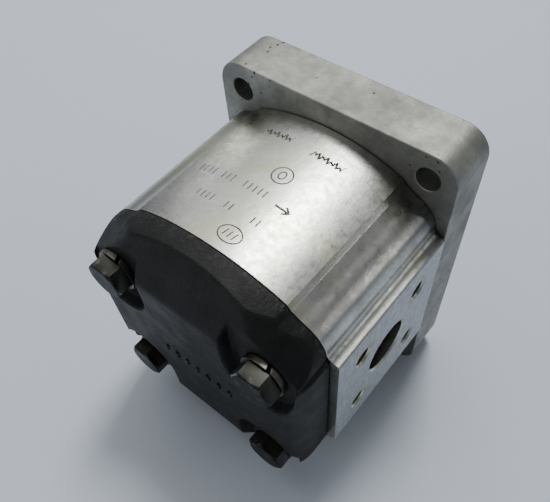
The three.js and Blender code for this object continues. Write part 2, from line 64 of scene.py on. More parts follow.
# Sizes of the bores in millimetres. The flange's are measured from its rear face.
PAST = 1.0  # how far a cutting solid reaches past the face that it opens
SHAFT_BORE, SEAL_POCKET, GROOVE_RADIUS = 9.7, 15.0, 16.2
POCKET_START, GROOVE_START, GROOVE_WIDTH = 11.5, 18.8, 1.5
BOLT_HOLE, BOLT_HOLE_DEPTH, DOWEL_FIT, DOWEL_GAP = 4.4, 14.0, 0.15, 0.2
PORT_DEPTH, SCREW_DEPTH, PORT_MOUTH, FLANGE_MOUTH = 39.0, 13.5, 0.7, 0.2


# ---- places read from the frame ----
def span(node, axis):
    """Lowest and highest coordinate of a CAD node along one axis, in millimetres."""
    low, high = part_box(node)
    return low[axis] / MM, high[axis] / MM


FLANGE_REAR, FLANGE_FRONT = span("mounting_flange", 1)
BODY_REAR, BODY_FRONT = span("pump_body", 1)
COVER_REAR, COVER_FRONT = span("rear_cover", 1)
MIDDLE_Z = sum(span("pump_body", 2)) / 2
MIDDLE_Y = (BODY_REAR + BODY_FRONT) / 2
APEX = span("pump_body", 2)[1] - MIDDLE_Z
HALF_WIDTH = span("pump_body", 0)[1]
COVER_HALF_WIDTH = span("rear_cover", 0)[1]
COVER_THICK = COVER_FRONT - COVER_REAR
SHAFT_Z = frame["joints"][0]["pos_m"][2] / MM
IDLER_Z = frame["joints"][1]["pos_m"][2] / MM
BOLT_X = sum(span("cover_bolt_2", 0)) / 2
BOLT_Z = sum(span("cover_bolt_2", 2)) / 2 - MIDDLE_Z
SEAT_GAP = 0.15  # between a washer and its seat
SEAT_DEPTH = COVER_FRONT - span("spring_washer_2", 1)[1] - SEAT_GAP


# ---- settings a user would change ----
def hex_to_linear(value):
    """An sRGB hex colour as linear red, green, blue and alpha."""
    srgb = np.array([int(value[i:i + 2], 16) for i in (1, 3, 5)]) / 255
    linear = np.where(srgb <= 0.04045, srgb / 12.92, ((srgb + 0.055) / 1.055) ** 2.4)
    return (*linear.tolist(), 1.0)


def length(name, description, default_mm):
    return bpy.props.FloatProperty(
        name=name, description=description, default=default_mm * MM,
        subtype="DISTANCE", unit="LENGTH", precision=5)


def colour(name, description, default_hex):
    return bpy.props.FloatVectorProperty(
        name=name, description=description, default=hex_to_linear(default_hex),
        subtype="COLOR", size=4, min=0, max=1)


class PumpSizes(bpy.types.PropertyGroup):
    """Sizes that the frame's boxes don't give: the defaults here are in millimetres."""

    bulge_radius: length("Bulge radius", "Radius of the body's top and bottom", 75.0)
    bulge_edge: length("Bulge edge", "Distance from the middle to the bulge's edge", 28.4)
    pad_half: length("Pad half height", "Half the height of a port pad", 27.6)
    port_radius: length("Port radius", "Radius of a port", 9.7)
    screw_half: length("Screw offset", "Offset of the port screws from the port", 15.3)
    screw_radius: length("Screw hole radius", "Radius of a port screw hole", 3.4)
    flange_edge: length("Flange edge", "Radius of the flange's long edges", 0.55)
    flange_thick: length("Flange thickness", "Thickness of the mounting flange", 18.4)
    flange_corner: length("Flange corner", "Radius of the flange's corners", 9.2)
    flange_hole: length("Flange hole radius", "Radius of a mounting hole", 4.2)
    flange_hole_x: length("Flange hole x", "A mounting hole's distance across", 35.75)
    flange_hole_z: length("Flange hole z", "A mounting hole's distance up", 48.1)
    pilot_radius: length("Pilot radius", "Radius of the pilot about the drive shaft", 18.25)
    pilot_chamfer: length("Pilot chamfer", "Chamfer of the pilot's front edge", 0.8)
    chamber_radius: length("Chamber radius", "Radius of the gear chambers", 18.45)
    front_top: length("Cover land height", "Half height of the cover's flat rear face", 34.5)
    front_side: length("Cover land width", "Half width of the cover's flat rear face", 38.6)
    side_drop: length("Cover side drop", "How far the cover's sides round over", 13.0)
    rim: length("Cover rim", "Depth of the cover's straight rim", 6.9)
    shoulder_reach: length("Shoulder reach", "Reach of a cover shoulder at its rim", 53.2)
    shoulder_rim: length("Shoulder rim", "Depth of the straight rim at a shoulder", 3.5)
    pocket_x: length("Pocket x", "Where a bolt pocket starts, across", 17.6)
    pocket_z: length("Pocket z", "Where a bolt pocket starts, up", 13.2)
    pocket_radius: length("Pocket radius", "Half the width of a bolt pocket", 11.6)
    cover_edge: length("Cover edge", "Radius of the cover's rim edge", 0.9)
    fillet: length("Casting fillet", "Blend between the faces of the casting", 0.9)
    stamp_width: length("Stamp width", "Width of a stamped line", 0.7)


def millimetres(scene):
    """The pump's sizes as plain numbers in millimetres."""
    group = scene.pump_sizes
    return SimpleNamespace(**{key: getattr(group, key) / MM for key in group.__annotations__})


class PumpColours(bpy.types.PropertyGroup):
    """Surface colours: the defaults here are sRGB hex values."""

    flange: colour("Flange", "Cast and machined aluminium", "#9B9C96")
    body: colour("Body", "Extruded aluminium", "#C9CAC6")
    yellowed: colour("Yellowed metal", "Aluminium with a trace of oil on it", "#BDBDA4")
    milled: colour("Milled face", "Freshly milled aluminium", "#BABEC2")
    residue: colour("Residue", "Dried thread sealant", "#8C9440")
    cover: colour("Cover", "Black paint over cast iron", "#0C0D0D")
    dusty: colour("Dust", "Black paint with settled dust", "#191A19")
    bolt: colour("Bolt", "Phosphated steel", "#191918")
    worn: colour("Worn steel", "Bright steel where the coating is worn", "#8A8982")
    washer: colour("Washer", "Zinc plated spring steel", "#66645E")
    steel: colour("Ground steel", "Ground and hardened steel", "#B5B7B9")
    bronze: colour("Bronze", "Sintered bronze", "#8D7445")
    rubber: colour("Rubber", "Nitrile rubber", "#191919")
    # the next two colours are painted shade at the bottom of the stamped lines, darker in the deepest
    # ones
    stamp: colour("Stamp", "Bottom of a stamped line", "#5C5E5C")
    deep_stamp_shade: colour("Burr", "Grime in the deepest stamped lines", "#4A4C4E")
    floor: colour("Floor", "Pale matt paper", "#C6CEDA")


# ---- numpy helpers ----
def smooth_low(a, b, blend):
    """The lower of two surfaces, rounded over a band: their minimum less a parabola."""
    share = np.clip(0.5 + 0.5 * (b - a) / blend, 0, 1)
    return b + (a - b) * share - blend * share * (1 - share)


def smooth_high(a, b, blend):
    """The higher of two surfaces, rounded over a band in the same way."""
    return -smooth_low(-a, -b, blend)


def spline(points, steps):
    """A curve through points. Each stretch is a cubic in t whose slope at a point is half the
    chord between that point's two neighbours."""
    p = np.asarray(points, float)
    p = np.vstack([p[:1], p, p[-1:]])
    t = np.linspace(0, 1, steps, endpoint=False)[:, None]
    stretches = []
    for a, b, c, d in zip(p[:-3], p[1:-2], p[2:-1], p[3:]):
        u, v = (c - a) / 2, (d - b) / 2
        stretches.append((2 * b - 2 * c + u + v) * t**3 + (-3 * b + 3 * c - 2 * u - v) * t**2 + u * t + b)
    return np.vstack([*stretches, p[-1:]])


def ring_quads(rings, sides):
    """Corner numbers of the quads between rings of points, which are numbered ring by ring."""
    r, c = np.meshgrid(np.arange(rings - 1), np.arange(sides), indexing="ij")
    here, beside = r * sides + c, r * sides + (c + 1) % sides
    return np.stack([here, beside, beside + sides, here + sides], -1).reshape(-1, 4).tolist()


def capped_rings(rings, sides):
    """The quads between rings, and one flat face over each end ring."""
    first = list(range(sides))[::-1]
    last = list(range((rings - 1) * sides, rings * sides))
    return [*ring_quads(rings, sides), first, last]


# ---- pieces ----
def clean(mesh):
    """Merges doubled points, drops empty faces and turns every face outwards."""
    merge_mm = 0.002
    made = bmesh.new()
    made.from_mesh(mesh)
    bmesh.ops.remove_doubles(made, verts=made.verts, dist=merge_mm * MM)
    bmesh.ops.dissolve_degenerate(made, edges=made.edges, dist=merge_mm * MM)
    bmesh.ops.recalc_face_normals(made, faces=made.faces)
    made.to_mesh(mesh)
    made.free()


def mesh_object(name, points_mm, faces):
    """A linked object at the origin with these points and faces, merged and facing outwards."""
    mesh = bpy.data.meshes.new(name)
    mesh.from_pydata((np.asarray(points_mm, float) * MM).tolist(), [], [list(map(int, f)) for f in faces])
    clean(mesh)
    made = bpy.data.objects.new(name, mesh)
    bpy.context.scene.collection.objects.link(made)
    return made


def finish_piece(piece, material, body="housing", nodes=()):
    """Gives a piece its material, the body it rides on and the CAD nodes it replaces."""
    piece.data.materials.clear()
    piece.data.materials.append(material)
    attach(piece, body)
    if nodes:
        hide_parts(*nodes)


def apply_modifiers(piece):
    """Applies a piece's modifiers to its own mesh."""
    evaluated = piece.evaluated_get(bpy.context.evaluated_depsgraph_get())
    mesh = bpy.data.meshes.new_from_object(evaluated)
    piece.modifiers.clear()
    piece.data = mesh
    return piece


def shade(piece, angle_deg):
    """Smooth shading up to an angle, with normals weighted so that large flats look flat."""
    piece.data.shade_smooth()
    piece.data.set_sharp_from_angle(angle=math.radians(angle_deg))
    even = piece.modifiers.new("weighted_normals", "WEIGHTED_NORMAL")
    even.keep_sharp = True
    return apply_modifiers(piece)


def refined_copy(node, name, edge_mm, angle_deg):
    """A merged copy of a CAD node. Its flat faces are rejoined, and every edge sharper than an
    angle is rounded, as tumbling or deburring does."""
    mesh = frame["nodes"][node].data.copy()
    made = bpy.data.objects.new(name, mesh)
    bpy.context.scene.collection.objects.link(made)
    clean(mesh)
    work = bmesh.new()
    work.from_mesh(mesh)
    bmesh.ops.dissolve_limit(work, angle_limit=math.radians(0.5), verts=work.verts, edges=work.edges)
    work.to_mesh(mesh)
    work.free()
    bevel = made.modifiers.new("edge_break", "BEVEL")
    bevel.width = edge_mm * MM
    bevel.segments = 2
    bevel.limit_method = "ANGLE"
    bevel.angle_limit = math.radians(angle_deg)
    apply_modifiers(made)
    return shade(made, 32)


# ---- outlines and solids ----
def quarter_section(sizes, half_width, steps):
    """One quarter of the outline in (x, z): pad corner, flute, shoulder, flute, then the bulge,
    which is an arc of the bulge radius about a centre below its apex."""
    shoulder = spline([
        (half_width - 0.5, sizes.pad_half + 0.6),
        (min(half_width - 1.2, 43.2), 28.9),
        (41.7, 30.6),
        (41.0, 33.5),
        (39.2, 36.6),
        (36.2, 39.0),
        (32.6, 40.7),
        (29.7, 42.4),
    ], steps)
    edge = math.asin(sizes.bulge_edge / sizes.bulge_radius)
    angle = edge * (1 - np.linspace(0, 1, 7 * steps))
    bulge = np.stack([
        sizes.bulge_radius * np.sin(angle),
        APEX - sizes.bulge_radius * (1 - np.cos(angle)),
    ], 1)
    return np.vstack([[(half_width, sizes.pad_half)], shoulder, bulge])


def section(sizes, half_width, steps):
    """The whole outline: the quarter mirrored left, then turned half a turn."""
    quarter = quarter_section(sizes, half_width, steps)
    upper = np.vstack([quarter, quarter[-2::-1] * (-1, 1)])
    return np.vstack([upper, -upper])


def bulge_height(sizes, x):
    """Height of the bulge's surface above the shafts' middle at a distance x across."""
    return APEX - sizes.bulge_radius + np.sqrt(sizes.bulge_radius**2 - np.asarray(x) ** 2)


def prism(outline, y0, y1, edge=0.0, steps=1):
    """An (x, z) outline carried along Y. At each end its edge is a quarter circle: rings pulled
    towards the middle by edge (1 - cos t), edge (1 - sin t) from the end. The ends are flat."""
    turn = np.linspace(math.pi / 2, 0, steps + 1)
    near = [(y0 + edge * (1 - math.sin(t)), edge * (1 - math.cos(t))) for t in turn]
    far = [(y1 - edge * (1 - math.sin(t)), edge * (1 - math.cos(t))) for t in turn[::-1]]
    rings = near + far if edge else [(y0, 0), (y1, 0)]
    points = []
    for y, inset in rings:
        ring = outline * (1 - inset / np.linalg.norm(outline, axis=1, keepdims=True))
        points.append(np.column_stack([ring[:, 0], np.full(len(ring), y), ring[:, 1] + MIDDLE_Z]))
    return np.vstack(points), capped_rings(len(rings), len(outline))


def turned_tool(profile, centre, axis, sides=64):
    """A closed solid of revolution: (distance along, radius) pairs turned about an axis through
    centre, with the two end rings closed flat."""
    profile = np.asarray(profile, float)
    angle = np.linspace(0, 2 * np.pi, sides, endpoint=False)
    along, radius = profile[:, :1], profile[:, 1:]
    a, b = radius * np.cos(angle), radius * np.sin(angle)
    c = along + 0 * a
    order = {"X": (c, a, b), "Y": (a, c, b)}[axis]
    points = np.stack(order, -1).reshape(-1, 3) + np.asarray(centre)
    return points, capped_rings(len(profile), sides)


def tube(path, radius, up, sides):
    """A round tube along a path, closed at both ends: at each point of the path a ring
    radius (a cos t + b sin t), where a and b are square to the path and a is square to up."""
    path = np.asarray(path, float)
    ahead = np.gradient(path, axis=0)
    ahead /= np.linalg.norm(ahead, axis=1, keepdims=True)
    across = np.cross(ahead, up)
    across /= np.linalg.norm(across, axis=1, keepdims=True)
    lift = np.cross(across, ahead)
    angle = np.linspace(0, 2 * np.pi, sides, endpoint=False)[None, :, None]
    ring = across[:, None] * np.cos(angle) + lift[:, None] * np.sin(angle)
    return (path[:, None] + radius * ring).reshape(-1, 3), capped_rings(len(path), sides)


def merged(parts):
    """Several (points, faces) pairs as one."""
    points, faces, start = [], [], 0
    for part_points, part_faces in parts:
        points.append(part_points)
        faces += [[start + i for i in face] for face in part_faces]
        start += len(part_points)
    return np.vstack(points), faces


def carve(piece, tools, operation="DIFFERENCE"):
    """Cuts each (points, faces) solid out of the piece in turn, or joins it on."""
    for points, faces in tools:
        tool = mesh_object("tool", points, faces)
        cut = piece.modifiers.new("cut", "BOOLEAN")
        cut.operation = operation
        cut.solver = "EXACT"
        cut.object = tool
        apply_modifiers(piece)
        bpy.data.objects.remove(tool)


def rounded_rectangle(half_x, half_z, radius):
    """Four quarter circles of one radius, anticlockwise from the right-hand side."""
    steps = 12
    points = []
    for k, (sx, sz) in enumerate(((1, 1), (-1, 1), (-1, -1), (1, -1))):
        t = np.linspace(0, math.pi / 2, steps) + k * math.pi / 2
        points.append(np.stack([
            sx * (half_x - radius) + radius * np.cos(t),
            sz * (half_z - radius) + radius * np.sin(t),
        ], 1))
    return np.vstack(points)


def bolt_holes(y0, y1):
    """Cutting solids for the holes of the four cover bolts."""
    return merged([
        turned_tool([(y0, BOLT_HOLE), (y1, BOLT_HOLE)], (sx * BOLT_X, 0, MIDDLE_Z + sz * BOLT_Z), "Y", 32)
        for sx, sz in CORNERS
    ])


def dowel_holes(joint, y0, y1):
    """Cutting solids for the two hollow dowels at one of the body's end faces."""
    sleeves = []
    for i in (1, 2):
        (x0, x1), (z0, z1) = span(f"dowel_{joint}_{i}", 0), span(f"dowel_{joint}_{i}", 2)
        radius, centre = (x1 - x0) / 2 + DOWEL_FIT, ((x0 + x1) / 2, 0, (z0 + z1) / 2)
        sleeves.append(turned_tool([(y0, radius), (y1, radius)], centre, "Y", 32))
    return merged(sleeves)


def figure_eight(radius):
    """Two equal arcs about the shafts' axes, each running from one crossing to the other."""
    offset = (SHAFT_Z - IDLER_Z) / 2
    waist = math.acos(offset / radius)
    turn = np.linspace(waist - math.pi / 2, 1.5 * math.pi - waist, 72)[:-1]
    upper = np.stack([radius * np.cos(turn), offset + radius * np.sin(turn)], 1)
    return np.vstack([upper, -upper])


# ---- materials ----
def add(tree, kind, *values, **named):
    """Adds a shader node. Values fill its inputs in order, names with a capital fill the input of
    that name, and other names set its properties. A node or socket is linked, and a hex colour is
    made linear."""
    made = tree.nodes.new("ShaderNode" + kind)
    inputs = dict(enumerate(values))
    for name, value in named.items():
        if name[0].isupper():
            inputs[name.replace("_", " ")] = value
        else:
            setattr(made, name, value)
    for key, value in inputs.items():
        by_name = (s for s in made.inputs if s.enabled and s.name == key)
        socket = made.inputs[key] if isinstance(key, int) else next(by_name)
        if isinstance(value, bpy.types.Node):
            value = next(s for s in value.outputs if s.enabled)
        if isinstance(value, bpy.types.NodeSocket):
            tree.links.new(value, socket)
        else:
            socket.default_value = hex_to_linear(value) if isinstance(value, str) else value
    return made


def new_material(name):
    """An empty node material: gives it, its tree and its Object coordinates."""
    material = bpy.data.materials.new(name)
    material.use_nodes = True
    tree = material.node_tree
    tree.nodes.clear()
    return material, tree, add(tree, "TexCoord").outputs["Object"]


def per_mm(x, y=None, z=None):
    """The scale at which noise has lumps of these sizes in millimetres along X, Y and Z."""
    return 1 / (x * MM) if y is None else (1 / (x * MM), 1 / (y * MM), 1 / (z * MM))


def darker(colour_linear, share):
    """A linear colour times a share."""
    return (*(share * c for c in colour_linear[:3]), 1.0)


def cast_aluminium(colours):
    """Gravity die-cast aluminium, skimmed on its faces. It is matt grey with faint cloudy stains,
    clusters of small gas pits, and the fine lines of a face mill."""
    material, tree, place = new_material("cast_aluminium")
    base = colours.flange
    clouds, mottle, grain, patch = (
        add(tree, "TexNoise", Vector=place, Scale=per_mm(lump), Detail=detail, Roughness=rough)
        for lump, detail, rough in ((15, 6, 0.62), (2.6, 4, 0.65), (0.9, 2, 0.5), (13, 1, 0.5))
    )
    milled = add(tree, "Mapping", Vector=place, Scale=per_mm(0.55, 0.6, 34))
    lines = add(tree, "TexNoise", Vector=milled, Scale=1, Detail=3)

    # pits: the cores of some cells 2.4 mm apart, only where a broad noise is high
    cells = add(tree, "TexVoronoi", Vector=place, Scale=per_mm(2.4))
    core = add(tree, "MapRange", Value=cells, From_Min=0.14, From_Max=0.24, To_Min=1, To_Max=0)
    where = add(tree, "MapRange", Value=patch, From_Min=0.60, From_Max=0.66)
    pits = add(tree, "Math", core, where, operation="MULTIPLY")

    stain = add(tree, "MapRange", Value=clouds, From_Min=0.36, From_Max=0.72, To_Max=0.85)
    fleck = add(tree, "MapRange", Value=mottle, From_Min=0.42, From_Max=0.66, To_Max=0.45)
    tone = base
    for share, over in ((stain, darker(base, 0.50)), (fleck, "#74756F"), (pits, "#4E4844")):
        tone = add(tree, "Mix", data_type="RGBA", Factor=share, A=tone, B=over)
    rough = add(tree, "MapRange", Value=clouds, From_Min=0.3, From_Max=0.7, To_Min=0.50, To_Max=0.66)
    skin = add(tree, "Bump", Height=grain, Distance=0.04 * MM, Strength=0.6)
    skin = add(tree, "Bump", Height=lines, Distance=0.05 * MM, Strength=0.8, Normal=skin)
    skin = add(tree, "Bump", Height=pits, Distance=-0.12 * MM, Strength=0.8, Normal=skin)
    shader = add(tree, "BsdfPrincipled", Metallic=1, Base_Color=tone, Roughness=rough, Normal=skin)
    add(tree, "OutputMaterial", Surface=shader)
    return material


def extruded_aluminium(sizes, colours):
    """Extruded aluminium. It is satin, cloudy and faintly yellowed, with long streaks from the
    die and a few handling scratches. The port pads are milled: bluer and duller, and stained with
    dried sealant about their holes."""
    material, tree, place = new_material("extruded_aluminium")
    parts = add(tree, "SeparateXYZ", Vector=place)
    across = add(tree, "Math", parts.outputs["X"], operation="ABSOLUTE")
    on_pad = add(tree, "MapRange", Value=across, From_Min=(HALF_WIDTH - 0.12) * MM,
                 From_Max=(HALF_WIDTH - 0.04) * MM)

    drawn = add(tree, "Mapping", Vector=place, Scale=per_mm(1.1, 60, 1.1))
    streaks = add(tree, "TexNoise", Vector=drawn, Scale=1, Detail=3, Roughness=0.6)
    clouds, mottle, yellow, specks, drops = (
        add(tree, "TexNoise", Vector=place, Scale=per_mm(lump), Detail=detail, Roughness=rough)
        for lump, detail, rough in (
            (13, 5, 0.62), (2.2, 4, 0.6), (24, 3, 0.6), (1.5, 2, 0.5), (2.4, 3, 0.6),
        )
    )

    cloudy = add(tree, "MapRange", Value=clouds, From_Min=0.40, From_Max=0.70)
    warm = add(tree, "MapRange", Value=yellow, From_Min=0.45, From_Max=0.65)
    dull = add(tree, "MapRange", Value=mottle, From_Min=0.40, From_Max=0.68, To_Max=0.34)
    speck = add(tree, "MapRange", Value=specks, From_Min=0.70, From_Max=0.78, To_Max=0.35)

    # painted shade in the corner against the flange, thicker towards the sides
    from_flange = add(tree, "MapRange", Value=parts.outputs["Y"], From_Min=(BODY_FRONT - 17) * MM,
                      From_Max=(BODY_FRONT - 1) * MM)
    aside = add(tree, "MapRange", Value=across, From_Min=4 * MM, From_Max=30 * MM, To_Max=0.85)
    flange_corner_shade = add(tree, "Math", from_flange, aside, operation="MULTIPLY")
    patchy = add(tree, "MapRange", Value=clouds, From_Min=0.3, From_Max=0.55, To_Min=0.4)
    flange_corner_shade = add(tree, "Math", flange_corner_shade, patchy, operation="MULTIPLY")

    # painted shade: the bores, which are all between the pads and the middle, darken as they deepen
    height = add(tree, "Math", parts.outputs["Z"], MIDDLE_Z * MM, operation="SUBTRACT")
    height = add(tree, "Math", height, operation="ABSOLUTE")
    between = add(tree, "MapRange", Value=height, From_Min=(sizes.pad_half - 2) * MM,
                  From_Max=(sizes.pad_half - 1.5) * MM, To_Min=1, To_Max=0)
    deep = add(tree, "MapRange", Value=across, From_Min=(HALF_WIDTH - 9) * MM,
               From_Max=(HALF_WIDTH - 1) * MM, To_Min=1, To_Max=0)
    bore_depth_shade = add(tree, "Math", between, deep, operation="MULTIPLY")

    # sealant: blobs in a ring 2.5 mm wide about each port screw hole
    flat = add(tree, "VectorMath", place, (0, 1, 1), operation="MULTIPLY")
    nearest = 1.0
    for sy, sz in CORNERS:
        y, z = MIDDLE_Y + sy * sizes.screw_half, MIDDLE_Z + sz * sizes.screw_half
        away = add(tree, "VectorMath", flat, (0, y * MM, z * MM), operation="DISTANCE")
        nearest = add(tree, "Math", nearest, away.outputs["Value"], operation="MINIMUM")
    ring = add(tree, "MapRange", Value=nearest, From_Min=(sizes.screw_radius + 0.3) * MM,
               From_Max=(sizes.screw_radius + 2.8) * MM, To_Min=1, To_Max=0)
    drops = add(tree, "MapRange", Value=drops, From_Min=0.51, From_Max=0.57)
    sealant = add(tree, "Math", ring, drops, operation="MULTIPLY")
    sealant = add(tree, "Math", sealant, on_pad, operation="MULTIPLY")

    cutter = add(tree, "Mapping", Vector=place, Scale=per_mm(6, 0.4, 11))
    cutter = add(tree, "TexNoise", Vector=cutter, Scale=1, Detail=3)
    band = add(tree, "MapRange", Value=cutter, From_Min=0.3, From_Max=0.7)
    fresh = colours.milled
    milled = add(tree, "Mix", data_type="RGBA", Factor=band, A=fresh, B=darker(fresh, 0.72))
    milled = add(tree, "Mix", data_type="RGBA", Factor=dull, A=milled, B="#6C7072")
    tone = colours.body
    # the mixes towards #4A4D4E and #232526 are painted shade, against the flange and down the bores
    for share, over in (
        (cloudy, darker(tone, 0.70)), (warm, colours.yellowed), (dull, "#8E908C"),
        (speck, "#55554F"), (flange_corner_shade, "#4A4D4E"), (on_pad, milled), (sealant, colours.residue),
        (bore_depth_shade, "#232526"),
    ):
        tone = add(tree, "Mix", data_type="RGBA", Factor=share, A=tone, B=over)
    metal = add(tree, "Math", 1.0, sealant, operation="SUBTRACT")

    satin = add(tree, "MapRange", Value=mottle, From_Min=0.3, From_Max=0.7, To_Min=0.25, To_Max=0.38)
    rough = add(tree, "Math", on_pad, 0.16, satin, operation="MULTIPLY_ADD")
    # scratches: the crest of a noise drawn out at a slant, kept in patches
    slant = add(tree, "Mapping", Vector=place, Scale=per_mm(0.8, 18, 4),
                Rotation=(0, 0, math.radians(41)))
    crest = add(tree, "TexNoise", Vector=slant, Scale=1, Detail=1)
    crest = add(tree, "MapRange", Value=crest, From_Min=0.70, From_Max=0.72)
    scratch = add(tree, "Math", crest, warm, operation="MULTIPLY")
    skin = add(tree, "Bump", Height=clouds, Distance=0.5 * MM, Strength=0.30)
    for height, depth, strength in (
        (streaks, 0.03, 0.22), (mottle, 0.06, 0.35), (cutter, 0.02, 0.4), (scratch, -0.02, 0.3),
    ):
        skin = add(tree, "Bump", Height=height, Distance=depth * MM, Strength=strength, Normal=skin)
    shader = add(tree, "BsdfPrincipled", Metallic=metal, Base_Color=tone, Roughness=rough, Normal=skin)
    add(tree, "OutputMaterial", Surface=shader)
    return material


def painted_cast_iron(colours):
    """Sand-cast iron under one coat of black paint: nearly matt over a sand grain of about a
    millimetre, greyer where dust has settled, and rubbed to a few pale specks on its edges."""
    material, tree, place = new_material("painted_cast_iron")
    sand, lumps, dust, chips = (
        add(tree, "TexNoise", Vector=place, Scale=per_mm(lump), Detail=detail, Roughness=rough)
        for lump, detail, rough in ((0.95, 4, 0.65), (6, 3, 0.5), (9, 5, 0.65), (1.3, 3, 0.6))
    )
    edge = add(tree, "NewGeometry").outputs["Pointiness"]
    edge = add(tree, "MapRange", Value=edge, From_Min=0.53, From_Max=0.60)
    chips = add(tree, "MapRange", Value=chips, From_Min=0.54, From_Max=0.64)
    worn = add(tree, "Math", edge, chips, operation="MULTIPLY")
    worn = add(tree, "Math", worn, 0.7, operation="MULTIPLY")
    settled = add(tree, "MapRange", Value=dust, From_Min=0.42, From_Max=0.72, To_Max=0.8)
    pale = add(tree, "MapRange", Value=sand, From_Min=0.58, From_Max=0.74, To_Max=0.30)
    tone = colours.cover
    for share, over in ((settled, colours.dusty), (pale, "#3C3D3C"), (worn, "#6E6E69")):
        tone = add(tree, "Mix", data_type="RGBA", Factor=share, A=tone, B=over)
    rough = add(tree, "MapRange", Value=lumps, From_Min=0.3, From_Max=0.7, To_Min=0.46, To_Max=0.60)
    skin = add(tree, "Bump", Height=lumps, Distance=0.3 * MM, Strength=0.35)
    skin = add(tree, "Bump", Height=sand, Distance=0.24 * MM, Strength=0.8, Normal=skin)
    shader = add(tree, "BsdfPrincipled", Base_Color=tone, Roughness=rough, Normal=skin,
                 Specular_IOR_Level=0.21)
    add(tree, "OutputMaterial", Surface=shader)
    return material


def phosphated_steel(colours):
    """Phosphated steel: dark grey and matt, with bright scuffs where a socket has turned."""
    material, tree, place = new_material("phosphated_steel")
    scuff = add(tree, "TexNoise", Vector=place, Scale=per_mm(3.4), Detail=5, Roughness=0.7)
    grain = add(tree, "TexNoise", Vector=place, Scale=per_mm(0.8), Detail=3)
    edge = add(tree, "NewGeometry").outputs["Pointiness"]
    edge = add(tree, "MapRange", Value=edge, From_Min=0.53, From_Max=0.63, To_Max=0.8)
    rubbed = add(tree, "MapRange", Value=scuff, From_Min=0.50, From_Max=0.80, To_Max=0.4)
    bare = add(tree, "Math", edge, rubbed, operation="MAXIMUM")
    tone = add(tree, "Mix", data_type="RGBA", Factor=bare, A=colours.bolt, B=colours.worn)
    rough = add(tree, "MapRange", Value=bare, To_Min=0.52, To_Max=0.34)
    skin = add(tree, "Bump", Height=grain, Distance=0.04 * MM, Strength=0.6)
    shader = add(tree, "BsdfPrincipled", Metallic=1, Base_Color=tone, Roughness=rough, Normal=skin)
    add(tree, "OutputMaterial", Surface=shader)
    return material


def turned_metal(name, base, rough_low, rough_high, period_mm=2.0):
    """Steel, aluminium or bronze with a turned, ground or plated skin: a clear metal with faint
    clouding and lines 0.5 mm apart, which is coarser than real ones so that they show."""
    material, tree, place = new_material(name)
    cloud = add(tree, "TexNoise", Vector=place, Scale=per_mm(period_mm), Detail=4, Roughness=0.6)
    turned = add(tree, "Mapping", Vector=place, Scale=per_mm(4, 0.5, 4))
    lines = add(tree, "TexNoise", Vector=turned, Scale=1, Detail=2)
    share = add(tree, "MapRange", Value=cloud, From_Min=0.4, From_Max=0.7)
    tone = add(tree, "Mix", data_type="RGBA", Factor=share, A=base, B=darker(base, 0.68))
    rough = add(tree, "MapRange", Value=cloud, From_Min=0.3, From_Max=0.7, To_Min=rough_low,
                To_Max=rough_high)
    skin = add(tree, "Bump", Height=lines, Distance=0.01 * MM, Strength=0.5)
    shader = add(tree, "BsdfPrincipled", Metallic=1, Base_Color=tone, Roughness=rough, Normal=skin)
    add(tree, "OutputMaterial", Surface=shader)
    return material


def moulded_rubber(colours):
    """Nitrile rubber, moulded: black and matt, with a faint grain."""
    material, tree, place = new_material("nitrile_rubber")
    base = colours.rubber
    grain = add(tree, "TexNoise", Vector=place, Scale=per_mm(0.6), Detail=3)
    tone = add(tree, "Mix", data_type="RGBA", Factor=grain, A=base, B=darker(base, 1.6))
    rough = add(tree, "MapRange", Value=grain, From_Min=0.3, From_Max=0.7, To_Min=0.6, To_Max=0.75)
    skin = add(tree, "Bump", Height=grain, Distance=0.03 * MM, Strength=0.4)
    shader = add(tree, "BsdfPrincipled", Base_Color=tone, Roughness=rough, Normal=skin)
    add(tree, "OutputMaterial", Surface=shader)
    return material


def paper(colours):
    """Matt pale paper with a barely visible tooth."""
    material, tree, place = new_material("pale_paper")
    base = colours.floor
    tooth = add(tree, "TexNoise", Vector=place, Scale=per_mm(3), Detail=3)
    tone = add(tree, "Mix", data_type="RGBA", Factor=tooth, A=base, B=darker(base, 0.97))
    shader = add(tree, "BsdfPrincipled", Base_Color=tone, Roughness=0.8)
    add(tree, "OutputMaterial", Surface=shader)
    return material


